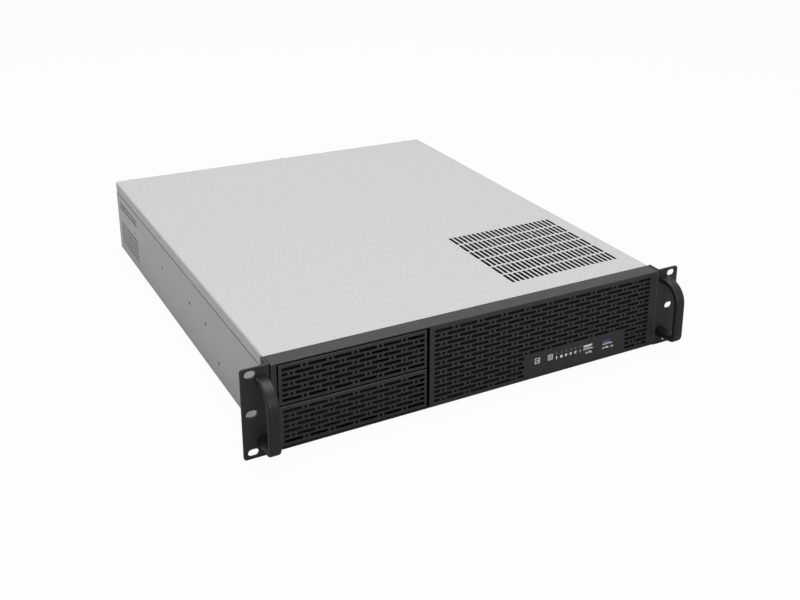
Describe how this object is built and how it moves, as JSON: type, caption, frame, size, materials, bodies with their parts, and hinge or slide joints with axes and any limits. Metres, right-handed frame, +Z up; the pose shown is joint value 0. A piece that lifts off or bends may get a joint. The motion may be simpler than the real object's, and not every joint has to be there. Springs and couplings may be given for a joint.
{
  "type": "empty rackmount server case",
  "caption": "Empty steel rack case with a sliding cover, perforated black front, drive bay covers, control buttons, rack ears and bowed handles.",
  "frame": {"origin": "middle of the underside, under the middle of the whole part's length and width", "axes": "+X to the right as seen from the front, +Y back into the rack, +Z up"},
  "size_m": [0.4826, 0.588, 0.088],
  "materials": {
    "galvanised_steel": "fine-grained galvanised steel",
    "black_steel": "black powder coat, satin",
    "black_handle": "black, glossy",
    "black_plastic": "matt",
    "button_plastic": "satin",
    "lamp_plastic": "clear",
    "circuit_board": "solder mask",
    "plated_steel": "plated",
    "brass_post": "turned",
    "white_plastic": "matt",
    "blue_plastic": "matt"
  },
  "bodies": {
    "case": {"chassis_tray": "galvanised_steel", "rear_panel": "galvanised_steel", "slot_bank": "galvanised_steel", "slot_cover_screws": "plated_steel", "front_frame": "black_steel", "front_bezel": "black_steel", "ear_left": "black_steel", "ear_right": "black_steel", "handle_left": "black_handle", "handle_right": "black_handle", "handle_screws": "plated_steel", "ear_screws": "plated_steel", "drive_cage_5in": "galvanised_steel", "drive_cage_3in": "galvanised_steel", "psu_bracket": "galvanised_steel", "fan_wall": "galvanised_steel", "board_standoffs": "brass_post", "control_board": "circuit_board", "control_board_posts": "brass_post", "button_switches": "black_plastic", "status_leds": "lamp_plastic", "usb2_port": "plated_steel", "usb2_tongue": "white_plastic", "usb3_port": "plated_steel", "usb3_tongue": "blue_plastic", "power_inlet": "black_plastic", "inlet_pins": "plated_steel", "slot_cover_1": "galvanised_steel", "slot_cover_2": "galvanised_steel", "slot_cover_3": "galvanised_steel", "slot_cover_4": "galvanised_steel", "slot_cover_5": "galvanised_steel", "slot_cover_6": "galvanised_steel", "slot_cover_7": "galvanised_steel", "fan_frame_1": "black_plastic", "fan_frame_2": "black_plastic", "fan_frame_3": "black_plastic"},
    "cover": {"top_cover": "galvanised_steel", "cover_thumbscrews": "plated_steel"},
    "upper_bay_cover": {"bay_cover_upper": "black_steel"},
    "lower_bay_cover": {"bay_cover_lower": "black_steel"},
    "power_key": {"power_button": "button_plastic"},
    "reset_key": {"reset_button": "button_plastic"},
    "fan_1": {"fan_rotor_1": "black_plastic"},
    "fan_2": {"fan_rotor_2": "black_plastic"},
    "fan_3": {"fan_rotor_3": "black_plastic"}
  },
  "joints": [
    {"name": "cover_slide", "type": "slide", "parent": "case", "child": "cover", "axis": [0, 1, 0], "range_m": [0, 0.54]},
    {"name": "upper_bay_cover_pull", "type": "slide", "parent": "case", "child": "upper_bay_cover", "axis": [0, -1, 0], "range_m": [0, 0.035]},
    {"name": "lower_bay_cover_pull", "type": "slide", "parent": "case", "child": "lower_bay_cover", "axis": [0, -1, 0], "range_m": [0, 0.035]},
    {"name": "power_press", "type": "slide", "parent": "case", "child": "power_key", "axis": [0, 1, 0], "range_m": [0, 0.0015], "stiffness_N_per_m": 400},
    {"name": "reset_press", "type": "slide", "parent": "case", "child": "reset_key", "axis": [0, 1, 0], "range_m": [0, 0.0015], "stiffness_N_per_m": 400},
    {"name": "fan_1_spin", "type": "hinge", "parent": "case", "child": "fan_1", "pos_m": [-0.1, -0.0444, 0.0432], "axis": [0, 1, 0], "continuous": true},
    {"name": "fan_2_spin", "type": "hinge", "parent": "case", "child": "fan_2", "pos_m": [0, -0.0444, 0.0432], "axis": [0, 1, 0], "continuous": true},
    {"name": "fan_3_spin", "type": "hinge", "parent": "case", "child": "fan_3", "pos_m": [0.1, -0.0444, 0.0432], "axis": [0, 1, 0], "continuous": true}
  ]
}
